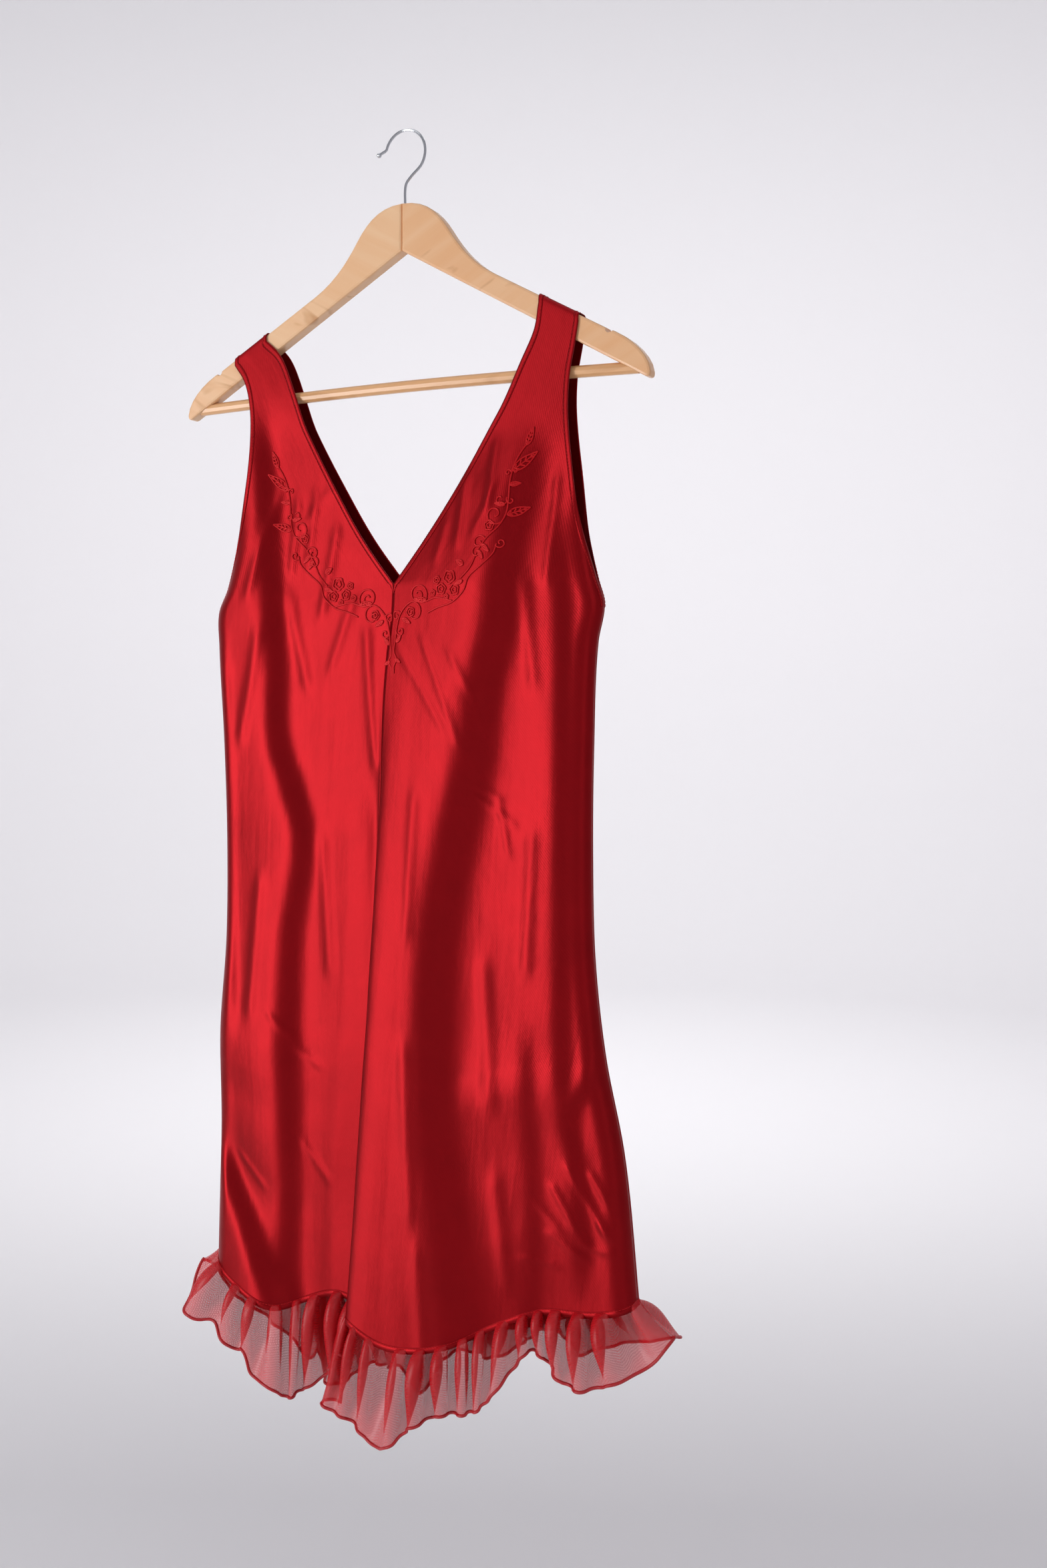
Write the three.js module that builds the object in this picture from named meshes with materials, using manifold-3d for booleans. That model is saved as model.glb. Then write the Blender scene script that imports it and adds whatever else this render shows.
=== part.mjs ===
// A sleeveless satin slip dress with a deep V front and back and a sheer gathered ruffle, hanging on a
// flat wooden hanger with a trouser bar and a wire hook.
// Millimetres, +Z up. The origin is the inside top of the hook, where a rail or a nail bears.
// -Y is the front of the dress, +Y the back, and left and right are a viewer's, facing the front.
import * as THREE from "three";
import { mergeVertices } from "three/addons/utils/BufferGeometryUtils.js";
import Module from "manifold-3d";

const wasm = await Module();
wasm.setup();

// ---- driving dimensions ---------------------------------------------------------------------------

const gap = 0.3; // left between pieces that touch
const satin = 1.2; // wall of the dress panels
const trim = 1.0; // wall of the turned edges and the ruffle

const hanger = {
  thick: 12.3, top: -60, inside: -99, bevel: 2, tipX: 222,
  upperSlope: 0.54, lowerSlope: 0.557,
  barRadius: 4.8, barHeight: -213, barBow: 3.2, barReach: 212,
  notchX: 188.5, notchZ: -182, notchRadius: 3.2,
};
const hook = { wire: 1.15, ringRadius: 19.15, tipRadius: 2.1, shankFoot: -74 };

// An arm's upper edge: its round shoulder, its hollow, then after a straight stretch its rounded tip.
// Each row is a Bezier curve's two handles and its end, from where the row before it ended.
const armShoulder = [
  { x1: 22, z1: -60, x2: 34, z2: -71, x: 44, z: -86 },
  { x1: 54, z1: -101, x2: 66, z2: -116, x: 86, z: -127 },
];
const armTip = { fromX: 186, fromZ: -181, x1: 204, z1: -188, x2: 222, z2: -203, x: 223.5, z: -217 };

// The hook's wire: its upturned tip, the ring as angles in degrees, and the bend into the shank.
const hookTip = [{ x: -25.5, z: -15.8 }, { x: -22.4, z: -14.4 }];
const hookRing = { from: 164, to: -48, step: 12 };
const hookNeck = [{ x: 6.2, z: -37.2 }, { x: 1.2, z: -42.5 }, { x: 0, z: -48 }, { x: 0, z: -58 }];

const dressX = -3; // the dress hangs this far off the hanger's middle
const vPoint = -375; // height of the point of both Vs
const underarm = -395;
const hemHeight = -1000; // nominal height of the satin hem
const shoulder = { middle: 149, bendZ: -167, rise: 7.4, bend: 12, levelZ: -240 };
const edgeWidth = 5; // turned edge round the neck and the armholes
const ruffle = { depth: 74, tuck: 6, behind: 2.6, lobe: 52, swing: 12, flare: 14 };
const side = { round: 16, from: -285 }; // how the panels curl round to the side seams

// The V's edge, down to its point: distances from the dress's middle line at a height.
const neckline = [
  { z: -167, Left: 133, Right: 131 },
  { z: -188, Left: 117, Right: 127 },
  { z: -214, Left: 103, Right: 112 },
  { z: -242, Left: 89, Right: 94 },
  { z: -290, Left: 61, Right: 64 },
  { z: -335, Left: 32, Right: 32 },
  { z: -375, Left: 0, Right: 0 },
];

// The armhole's edge and, below the underarm, the side seam, measured in the same way.
const sideline = [
  { z: -167, Left: 167, Right: 166 },
  { z: -188, Left: 157, Right: 163 },
  { z: -214, Left: 151, Right: 159 },
  { z: -242, Left: 150, Right: 158 },
  { z: -290, Left: 155, Right: 163 },
  { z: -335, Left: 165, Right: 170 },
  { z: -375, Left: 178, Right: 181 },
  { z: -395, Left: 188, Right: 187 },
  { z: -425, Left: 188, Right: 182 },
  { z: -510, Left: 183, Right: 179 },
  { z: -600, Left: 180, Right: 179 },
  { z: -690, Left: 181, Right: 182 },
  { z: -780, Left: 188, Right: 192 },
  { z: -870, Left: 187, Right: 209 },
  { z: -1000, Left: 190, Right: 223 },
];

// How deep the front and the back stand off the middle plane, and the lap at the centre front seam.
// lap: how far the seam's S-fold swings sideways; step: how far the right half stands before the left.
const depths = [
  { z: -150, front: 7.3, back: 7.3, lap: 0, step: 0, fold: 0 },
  { z: -220, front: 7.6, back: 7.4, lap: 0, step: 0, fold: 0 },
  { z: -300, front: 9.5, back: 9, lap: 0, step: 0, fold: 0 },
  { z: -395, front: 12, back: 10.5, lap: 0, step: 0, fold: -2 },
  { z: -470, front: 12, back: 11, lap: 2, step: 1, fold: -9 },
  { z: -560, front: 12, back: 11, lap: 8, step: 4, fold: -13 },
  { z: -760, front: 13, back: 12, lap: 15, step: 11, fold: -25 },
  { z: -1000, front: 15, back: 15, lap: 19, step: 18, fold: -42 },
];
const lapReach = 30; // half width of the stretch that the S-fold takes up

// The long folds. Each is a ridge with a gentle flank on its left and a steeper one on its right:
// x is where its crest lies and rise how far it stands out, at the top, in the middle and at the hem.
const frontFolds = [
  { z: [-215, -560, -1000], x: [-150, -134, -138], rise: [2, 8, 13], left: 26, right: 27 },
  { z: [-430, -700, -1000], x: [-52, -56, -66], rise: [1, 5, 9], left: 26, right: 20 },
  { z: [-470, -700, -1000], x: [2, 6, 10], rise: [1, 9, 12], left: 42, right: 44 },
  { z: [-215, -400, -480], x: [114, 88, 60], rise: [3, 6, 4], left: 22, right: 22 },
  { z: [-250, -560, -1000], x: [136, 122, 104], rise: [3, 5, 6], left: 22, right: 34 },
  { z: [-400, -660, -1000], x: [168, 168, 196], rise: [2, 3, 6], left: 14, right: 12 },
];
const backFolds = [
  { z: [-240, -560, -1000], x: [-140, -128, -120], rise: [2, 7, 12], left: 26, right: 30 },
  { z: [-420, -700, -1000], x: [-40, -46, -40], rise: [1, 5, 10], left: 34, right: 26 },
  { z: [-420, -700, -1000], x: [52, 48, 56], rise: [1, 6, 11], left: 28, right: 36 },
  { z: [-240, -560, -1000], x: [142, 128, 142], rise: [2, 6, 12], left: 28, right: 26 },
];

// The hem's height along each half, from the middle (0) to the side seam (1).
const hemLeft = [
  { at: 0, z: -1009 }, { at: 0.22, z: -998 }, { at: 0.55, z: -1017 }, { at: 0.8, z: -1002 },
  { at: 1, z: -980 },
];
const hemRight = [
  { at: 0, z: -1009 }, { at: 0.18, z: -1026 }, { at: 0.38, z: -1016 }, { at: 0.68, z: -976 },
  { at: 0.86, z: -968 }, { at: 1, z: -955 },
];
const hemBack = [
  { at: 0, z: -1016 }, { at: 0.35, z: -1010 }, { at: 0.7, z: -985 }, { at: 1, z: 0 },
];

// ---- small helpers --------------------------------------------------------------------------------

const clamp = (value, low, high) => Math.min(Math.max(value, low), high);
const smooth = (t) => t * t * (3 - 2 * t);
const fade = (value, from, to) => smooth(clamp((value - from) / (to - from), 0, 1));

// A smooth reading between the rows of a table, whose key column rises or falls steadily.
function read(rows, key, column, at) {
  const rising = rows[rows.length - 1][key] > rows[0][key];
  const table = rising ? rows : [...rows].reverse();
  const place = clamp(at, table[0][key], table[table.length - 1][key]);
  let i = 0;
  while (i < table.length - 2 && table[i + 1][key] < place) i += 1;
  const slope = (a, b) => (table[b][column] - table[a][column]) / (table[b][key] - table[a][key]);
  const span = table[i + 1][key] - table[i][key];
  const chord = slope(i, i + 1);
  const enter = i > 0 ? (slope(i - 1, i) + chord) / 2 : chord;
  const leave = i < table.length - 2 ? (slope(i + 1, i + 2) + chord) / 2 : chord;
  const t = (place - table[i][key]) / span;
  const change = table[i + 1][column] - table[i][column];
  const curve = (enter * (1 - t) - leave * t) * span - (1 - 2 * t) * change;
  return table[i][column] + t * change + t * (1 - t) * curve;
}

function foldColumn(fold, column, z) {
  const rows = fold.z.map((height, i) => ({ z: height, value: fold[column][i] }));
  return read(rows, "z", "value", z);
}

// How far the folds lift the cloth at (x, z).
function lift(folds, x, z) {
  let total = 0;
  for (const fold of folds) {
    const off = x - foldColumn(fold, "x", z);
    const width = off < 0 ? fold.left : fold.right;
    const rise = foldColumn(fold, "rise", z) * fade(z, fold.z[0] + 50, fold.z[0] - 20);
    total += rise * Math.exp(-((off / width) ** 2));
  }
  return total;
}

// ---- the dress as one continuous surface ----------------------------------------------------------

const isRight = (half) => half === "Right";
const outward = (half) => (isRight(half) ? 1 : -1);

// The centre front seam lies behind the fold's edge, by as much as the S-fold swings past itself.
function seamX(z) {
  const lap = read(depths, "z", "lap", z);
  const turn = lapReach / (Math.PI * Math.max(lap, lapReach / Math.PI));
  const angle = Math.acos(turn);
  return read(depths, "z", "fold", z) + lap * Math.sin(angle) - (lapReach / Math.PI) * angle;
}

// One half of a level section, from the middle or neck edge out to the armhole or side seam.
function sectionPoint(face, half, z, t) {
  const sign = outward(half);
  const front = face === "front";
  const middle = front && z < vPoint ? seamX(z) * fade(z, vPoint, vPoint - 60) : 0;
  const inner = read(neckline, "z", half, z);
  const outer = read(sideline, "z", half, z) - sign * middle;
  const m = inner + (outer - inner) * (1 - (1 - t) ** 2);
  const x = dressX + middle + sign * m;
  const lap = front ? read(depths, "z", "lap", z) : 0;
  const step = front ? read(depths, "z", "step", z) : 0;
  const near = Math.min(m / lapReach, 1);
  const swing = -sign * lap * Math.sin(Math.PI * near);
  const settle = 1 - fade(m, lapReach, outer * 0.8);
  const stand = -sign * step * (smooth((1 + near) / 2) - 0.5) * settle;
  const toEdge = clamp((outer - m) / side.round, 0, 1);
  const curl = 1 - fade(z, side.from, underarm) * (1 - Math.sqrt(1 - (1 - toEdge) ** 2));
  const folds = front ? frontFolds : backFolds;
  const depth = (read(depths, "z", face, z) + lift(folds, x, z)) * curl;
  return new THREE.Vector2(x + swing, front ? -depth + stand : depth);
}

// The same half section with its points spaced evenly along the cloth.
const sections = new Map();
function evenSection(face, half, z) {
  const name = `${face} ${half} ${z.toFixed(4)}`;
  if (!sections.has(name)) {
    const steps = 90;
    const points = [...Array(steps + 1).keys()].map((i) => sectionPoint(face, half, z, i / steps));
    const lengths = [0];
    for (let i = 1; i <= steps; i += 1) {
      lengths.push(lengths[i - 1] + points[i].distanceTo(points[i - 1]));
    }
    sections.set(name, { points, lengths });
  }
  return sections.get(name);
}

function alongSection(face, half, z, share) {
  const { points, lengths } = evenSection(face, half, z);
  const target = clamp(share, 0, 1) * lengths[lengths.length - 1];
  let i = 1;
  while (i < lengths.length - 1 && lengths[i] < target) i += 1;
  const t = (target - lengths[i - 1]) / (lengths[i] - lengths[i - 1]);
  return points[i - 1].clone().lerp(points[i], t);
}

// Height of the satin hem at a share of a half section.
function hemZ(face, half, share) {
  if (face === "front") return read(isRight(half) ? hemRight : hemLeft, "at", "z", share);
  const rows = isRight(half) ? hemRight : hemLeft;
  const seam = rows[rows.length - 1].z;
  const back = hemBack.map((row) => (row.at === 1 ? { at: 1, z: seam } : row));
  return read(back, "at", "z", share);
}

// A point of a half panel: share 0 is its neck edge or centre seam and 1 its armhole or side seam;
// height is the nominal height, down from the strap's top. Above bendZ the strap bends over the hanger.
function panelPoint(face, half, share, height) {
  const { middle, bendZ, rise, bend, levelZ } = shoulder;
  const z = Math.min(height, bendZ);
  const flat = alongSection(face, half, z, share);
  const tilt = hanger.upperSlope * (Math.abs(flat.x) - middle) * fade(z, levelZ, bendZ);
  const drop = (hemZ(face, half, share) - hemHeight) * fade(z, -560, hemHeight);
  if (height <= bendZ) return new THREE.Vector3(flat.x, flat.y, z - tilt + drop);
  const angle = (Math.min((height - bendZ) / bend, 1) * Math.PI) / 2;
  const y = flat.y * Math.sqrt(Math.abs(Math.cos(angle)));
  return new THREE.Vector3(flat.x, y, z - tilt + rise * Math.sqrt(Math.sin(angle)));
}

// ---- walls ----------------------------------------------------------------------------------------

// A sheet is points, normals and four-sided cells. Points that coincide are shared.
class Sheet {
  constructor() {
    this.points = [];
    this.normals = [];
    this.cells = [];
    this.places = new Map();
  }

  vertex(point, normal) {
    const name = [point.x, point.y, point.z].map((v) => v.toFixed(3)).join(" ");
    if (!this.places.has(name)) {
      this.places.set(name, this.points.length);
      this.points.push(point);
      this.normals.push(new THREE.Vector3());
    }
    const index = this.places.get(name);
    this.normals[index].add(normal);
    return index;
  }

  // surface(u, v) gives points; us and vs are where to read it. Facing turns the normals.
  add(surface, us, vs, facing, inset = () => 0) {
    const grid = vs.map((v) => us.map((u) => {
      const point = surface(u, v);
      const normal = normalOf(surface, u, v, us, vs).multiplyScalar(facing);
      return this.vertex(point.addScaledVector(normal, inset(u, v)), normal);
    }));
    for (let i = 1; i < vs.length; i += 1) {
      for (let j = 1; j < us.length; j += 1) {
        const cell = [grid[i - 1][j - 1], grid[i - 1][j], grid[i][j], grid[i][j - 1]];
        this.cells.push(facing > 0 ? cell : cell.reverse());
      }
    }
    return this;
  }

  // The closed wall: the sheet moved out and in by half the thickness, with a rim along its edges.
  wall(thickness) {
    const count = this.points.length;
    const vertices = [];
    for (const sign of [1, -1]) {
      this.points.forEach((point, i) => {
        const normal = this.normals[i].clone().normalize();
        vertices.push(point.clone().addScaledVector(normal, (sign * thickness) / 2));
      });
    }
    const triangles = [];
    const edges = new Map();
    for (const [a, b, c, d] of this.cells) {
      triangles.push(a, b, c, a, c, d);
      triangles.push(a + count, c + count, b + count, a + count, d + count, c + count);
      for (const [from, to] of [[a, b], [b, c], [c, d], [d, a]]) {
        if (edges.has(`${to} ${from}`)) edges.delete(`${to} ${from}`);
        else edges.set(`${from} ${to}`, [from, to]);
      }
    }
    for (const [from, to] of edges.values()) {
      triangles.push(from, from + count, to + count, from, to + count, to);
    }
    const geometry = new THREE.BufferGeometry().setFromPoints(vertices);
    geometry.setIndex(triangles);
    return geometry;
  }
}

function normalOf(surface, u, v, us, vs) {
  const du = (us[us.length - 1] - us[0]) * 2e-3;
  const dv = 0.04;
  const inside = (value, ends, d) => {
    const [low, high] = [Math.min(...ends), Math.max(...ends)];
    return [clamp(value - Math.abs(d), low, high), clamp(value + Math.abs(d), low, high)];
  };
  const [u0, u1] = inside(u, [us[0], us[us.length - 1]], du);
  const [v0, v1] = inside(v, [vs[0], vs[vs.length - 1]], dv);
  const across = surface(u1, v).sub(surface(u0, v));
  const down = surface(u, v0).sub(surface(u, v1));
  return across.cross(down).normalize();
}

const spaced = (from, to, steps) =>
  [...Array(steps + 1).keys()].map((i) => from + ((to - from) * i) / steps);

// ---- the panels -----------------------------------------------------------------------------------

const { bendZ, bend } = shoulder;
const strapBend = [0.9997, 0.86, 0.62, 0.4, 0.2, 0].map((share) => bendZ + share * bend);
const strapRows = [...strapBend, ...spaced(bendZ - 12, vPoint, 9)];
const bodyRows = [-385, underarm, -412, -435, -465, ...spaced(-505, hemHeight, 9)];
const panelRows = [...strapRows, ...bodyRows];
const seamInset = 0.0008; // share of a half panel left clear at a seam, about 0.15 mm
const backShares = [0, 0.13, 0.26, 0.39, 0.51, 0.63, 0.75, 0.85, 0.93, 0.975, 1];
const halfShares = [0, 0.05, 0.1, 0.15, 0.22, 0.32, 0.43, 0.54, 0.65, 0.75, 0.84, 0.91, 0.955, 0.98, 1];

// Which way the outside of a half panel faces, for a surface read from its neck edge outwards.
const facingOf = (face, half) => (isRight(half) === (face === "front") ? -1 : 1);
const cutShares = (shares) =>
  shares.map((share) => clamp(share, seamInset, 1 - seamInset));

function frontPanel(half) {
  const surface = (share, height) => panelPoint("front", half, share, height);
  const sheet = new Sheet();
  sheet.add(surface, cutShares(halfShares), panelRows, facingOf("front", half));
  return sheet.wall(satin);
}

function backPanel() {
  const sheet = new Sheet();
  const shares = backShares.map((share) => Math.min(share, 1 - seamInset));
  for (const half of ["Left", "Right"]) {
    const surface = (share, height) => panelPoint("back", half, share, height);
    sheet.add(surface, shares, panelRows, facingOf("back", half));
  }
  return sheet.wall(satin);
}

// ---- the turned edges -----------------------------------------------------------------------------

// A strip laid on a half panel along its neck edge (edge 0) or its armhole (edge 1), from the shoulder
// to the V or the underarm, and cut there along the seam.
function edgeStrip(face, half, edge, foot) {
  const inward = edge === 0 ? 1 : -1;
  const start = edge === 0 ? seamInset * 2 : 1 - seamInset * 2;
  const surface = (share, height) => panelPoint(face, half, share, height);
  const rows = [...strapRows, ...bodyRows].filter((height) => height > foot + 6);
  const strip = (across, height) => {
    const step = height > bendZ ? 0.1 : 1;
    const down = surface(start, height - step).sub(surface(start, height)).divideScalar(-step);
    const over = surface(start + inward * 0.01, height).sub(surface(start, height));
    over.divideScalar(0.01);
    const unit = down.clone().normalize();
    const square = over.clone().addScaledVector(unit, -over.dot(unit)).normalize();
    if (height > bendZ) {
      return surface(start + (inward * across * edgeWidth) / over.length(), height);
    }
    const det = over.dot(over) * down.dot(down) - over.dot(down) ** 2;
    const a = (square.dot(over) * down.dot(down) - square.dot(down) * over.dot(down)) / det;
    const b = (square.dot(down) * over.dot(over) - square.dot(over) * over.dot(down)) / det;
    const place = Math.min(height + b * across * edgeWidth, bendZ);
    return surface(start + inward * a * across * edgeWidth, place);
  };
  const last = (across) => surface(start, foot - across * edgeWidth * (edge === 0 ? 1.8 : 1.1));
  const whole = (across, height) => (height <= foot ? last(across) : strip(across, height));
  const sheet = new Sheet();
  const facing = facingOf(face, half) * inward;
  const lifted = satin / 2 + (edge === 0 ? 2 : 3) * gap + trim / 2;
  const across = edge === 0 ? [0, 1] : [0, 0.45, 1];
  sheet.add(whole, across, [...rows, foot + 3, foot], facing, () => lifted);
  return sheet.wall(trim);
}

// ---- the ruffle -----------------------------------------------------------------------------------

// The gathered strip hangs from behind the satin hem. along runs from the left seam to the right one,
// and level from 0 at its gathered top down to its rolled hem.
function ruffleSheet(face) {
  const way = face === "front" ? -1 : 1;
  const length = ["Left", "Right"].reduce(
    (sum, half) => sum + evenSection(face, half, hemHeight).lengths.at(-1), 0);
  const shares = face === "front" ? halfShares : backShares;
  const hemPoint = (along) => {
    const half = along < 0.5 ? "Left" : "Right";
    const share = Math.abs(along - 0.5) * 2;
    const next = clamp(shares.findIndex((value) => value >= share), 1, shares.length - 1);
    const t = (share - shares[next - 1]) / (shares[next] - shares[next - 1]);
    const [from, to] = [next - 1, next].map((i) => panelPoint(face, half, shares[i], hemHeight));
    return from.lerp(to, t);
  };
  const surface = (along, level) => {
    const top = hemPoint(along);
    const near = [clamp(along - 0.002, 0, 1), clamp(along + 0.002, 0, 1)];
    const run = hemPoint(near[1]).sub(hemPoint(near[0])).setZ(0).normalize();
    const out = new THREE.Vector3(-run.y, run.x, 0).multiplyScalar(way);
    const phase = (along * length * 2 * Math.PI) / ruffle.lobe;
    const quiet = face === "front" ? fade(Math.abs(along - 0.5), 0.04, 0.12) : 1;
    const calm = quiet * fade(Math.min(along, 1 - along), 0, 0.06);
    const spread = fade(-level, 0, ruffle.depth);
    const away = spread * (ruffle.flare * 0.5 + ruffle.swing * calm * Math.sin(phase));
    const sway = -ruffle.swing * 0.5 * calm * spread * Math.cos(phase);
    const splay = (2 * along - 1) ** 5 * ruffle.flare * 1.6 * spread;
    const behind = ruffle.behind * (0.85 + 0.15 * quiet);
    const shift = out.multiplyScalar(away - behind).addScaledVector(run, sway);
    shift.y *= fade(Math.min(along, 1 - along), 0, 0.04);
    return top.add(shift).add(new THREE.Vector3(splay, 0, ruffle.tuck + level));
  };
  const levels = [0, -ruffle.tuck, -ruffle.depth * 0.45, -ruffle.depth - ruffle.tuck];
  const half = shares.flatMap((share, i) => {
    const parts = Math.max(1, Math.round((share - (shares[i - 1] ?? share)) * 32));
    return spaced(shares[i - 1] ?? share, share, parts).slice(i > 0 ? 1 : parts);
  });
  const alongs = [...half.slice(1).reverse().map((share) => -share), ...half]
    .map((share) => clamp(0.5 + share / 2, 0.001, 0.999));
  return new Sheet().add(surface, alongs, levels, way).wall(trim);
}

// ---- the hanger -----------------------------------------------------------------------------------

// Manifold works on shared vertices, so every other attribute goes first.
function toSolid(geometry) {
  const plain = geometry.clone();
  plain.deleteAttribute("normal");
  plain.deleteAttribute("uv");
  const merged = mergeVertices(plain, 1e-4);
  return new wasm.Manifold(new wasm.Mesh({
    numProp: 3,
    vertProperties: new Float32Array(merged.attributes.position.array),
    triVerts: new Uint32Array(merged.index.array),
  }));
}

function toGeometry(solid) {
  const mesh = solid.getMesh();
  const geometry = new THREE.BufferGeometry();
  geometry.setAttribute("position", new THREE.BufferAttribute(mesh.vertProperties, 3));
  geometry.setIndex(new THREE.BufferAttribute(mesh.triVerts, 1));
  return geometry;
}

function roundSection(radius, sides) {
  const section = new THREE.Shape();
  for (let i = 0; i < sides; i += 1) {
    const angle = (i * 2 * Math.PI) / sides;
    const [x, y] = [radius * Math.cos(angle), radius * Math.sin(angle)];
    if (i === 0) section.moveTo(x, y);
    else section.lineTo(x, y);
  }
  section.closePath();
  return section;
}

function tube(curve, radius, sides, steps) {
  const options = { steps, bevelEnabled: false, extrudePath: curve };
  return new THREE.ExtrudeGeometry(roundSection(radius, sides), options);
}

// One arm in the hanger's plane: a round shoulder, a hollow, a straight stretch and a rounded tip.
function armOutline() {
  const { top, inside, lowerSlope, tipX } = hanger;
  const start = gap / 2;
  const shape = new THREE.Shape();
  shape.moveTo(start, top);
  for (const { x1, z1, x2, z2, x, z } of armShoulder) shape.bezierCurveTo(x1, z1, x2, z2, x, z);
  const { fromX, fromZ, x1, z1, x2, z2, x, z } = armTip;
  shape.lineTo(fromX, fromZ);
  shape.bezierCurveTo(x1, z1, x2, z2, x, z);
  const foot = tipX - 3;
  shape.quadraticCurveTo(tipX + 2, inside - lowerSlope * tipX, foot, inside - lowerSlope * foot);
  shape.lineTo(start, inside - lowerSlope * start);
  shape.closePath();
  return shape;
}

// Extrusions run along Z; this stands them up in the XZ plane, centred on Y = 0.
function standUp(geometry, thickness) {
  return geometry.translate(0, 0, -thickness / 2).rotateX(Math.PI / 2);
}

class BarCurve extends THREE.Curve {
  constructor(reach) {
    super();
    this.reach = reach;
  }

  getPoint(t, target = new THREE.Vector3()) {
    const x = (2 * t - 1) * this.reach;
    const { barHeight, barBow, barReach } = hanger;
    const z = barHeight + barBow * Math.cos((Math.PI * x) / (2 * barReach));
    return target.set(x, 0, z);
  }
}

const trouserBar = () => tube(new BarCurve(hanger.barReach), hanger.barRadius, 10, 16);

// The hook: from the ball tip round over the top, down its right side and through a bend to the shank.
function hookCurve() {
  const { ringRadius, wire, shankFoot } = hook;
  const centre = -(ringRadius - wire);
  const ring = [];
  for (let degrees = hookRing.from; degrees >= hookRing.to; degrees -= hookRing.step) {
    const angle = THREE.MathUtils.degToRad(degrees);
    ring.push({ x: ringRadius * Math.cos(angle), z: centre + ringRadius * Math.sin(angle) });
  }
  const rows = [...hookTip, ...ring, ...hookNeck, { x: 0, z: shankFoot }];
  const points = rows.map(({ x, z }) => new THREE.Vector3(x, 0, z));
  return new THREE.CatmullRomCurve3(points, false, "centripetal");
}

function hookGeometry() {
  const curve = hookCurve();
  const tip = curve.getPoint(0);
  const ball = new THREE.SphereGeometry(hook.tipRadius, 10, 8).translate(tip.x, tip.y, tip.z);
  return toGeometry(toSolid(tube(curve, hook.wire, 8, 60)).add(toSolid(ball)));
}

function armGeometry(half) {
  const { thick, bevel, notchX, notchZ, notchRadius, barRadius, barReach } = hanger;
  const blank = standUp(new THREE.ExtrudeGeometry(armOutline(), {
    depth: thick - 2 * bevel, curveSegments: 7, bevelEnabled: true, bevelThickness: bevel,
    bevelSize: bevel, bevelOffset: -bevel, bevelSegments: 2,
  }), thick - 2 * bevel);
  const notch = new THREE.CylinderGeometry(notchRadius, notchRadius, thick * 2, 12);
  notch.translate(notchX, 0, notchZ);
  const socket = tube(new BarCurve(barReach + gap), barRadius + gap, 10, 16);
  const shankHole = new THREE.CylinderGeometry(hook.wire + gap, hook.wire + gap, 40, 12);
  shankHole.rotateX(Math.PI / 2).translate(0, 0, hook.shankFoot + 20 - gap);
  const arm = toSolid(blank)
    .subtract(toSolid(notch))
    .subtract(toSolid(socket))
    .subtract(toSolid(shankHole));
  const geometry = toGeometry(arm);
  if (isRight(half)) return geometry;
  geometry.scale(-1, 1, 1);
  const index = geometry.index.array;
  for (let i = 0; i < index.length; i += 3) [index[i + 1], index[i + 2]] = [index[i + 2], index[i + 1]];
  return geometry;
}

// ---- materials and the finished group -------------------------------------------------------------

const finish = (color, roughness, metalness) =>
  new THREE.MeshStandardMaterial({ color, roughness, metalness, side: THREE.DoubleSide });
const redSatin = finish("#c4121a", 0.35, 0);
const redEdge = finish("#a80e16", 0.45, 0);
const redOrganza = finish("#b5121f", 0.6, 0);
redOrganza.transparent = true;
redOrganza.opacity = 0.55;
const paleWood = finish("#e8b78a", 0.45, 0);
const chrome = finish("#d9dbde", 0.15, 1);

const dressOnHanger = new THREE.Group();
function piece(name, geometry, material) {
  const mesh = new THREE.Mesh(geometry, material);
  mesh.name = name;
  dressOnHanger.add(mesh);
}

piece("hook", hookGeometry(), chrome);
piece("hanger_arm_left", armGeometry("Left"), paleWood);
piece("hanger_arm_right", armGeometry("Right"), paleWood);
piece("trouser_bar", trouserBar(), paleWood);
piece("front_left", frontPanel("Left"), redSatin);
piece("front_right", frontPanel("Right"), redSatin);
piece("back", backPanel(), redSatin);
for (const face of ["front", "back"]) {
  for (const half of ["Left", "Right"]) {
    const place = `${face}_${half.toLowerCase()}`;
    piece(`neck_edge_${place}`, edgeStrip(face, half, 0, vPoint), redEdge);
    piece(`armhole_edge_${place}`, edgeStrip(face, half, 1, underarm), redEdge);
  }
}
piece("ruffle_front", ruffleSheet("front"), redOrganza);
piece("ruffle_back", ruffleSheet("back"), redOrganza);

export default dressOnHanger;
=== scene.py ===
# %% [markdown]
# # A satin slip dress on its hanger
# The dress is red polyester satin cut on the bias, with a deep V front and back, a seam down the
# middle of the front and a gathered ruffle of sheer organza round its hem. It hangs on a flat wooden
# hanger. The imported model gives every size; this script makes the fine surfaces around it.

# %% Load the frame
import math

import bpy
import bmesh
import numpy as np
from mathutils import Matrix, Vector


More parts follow.
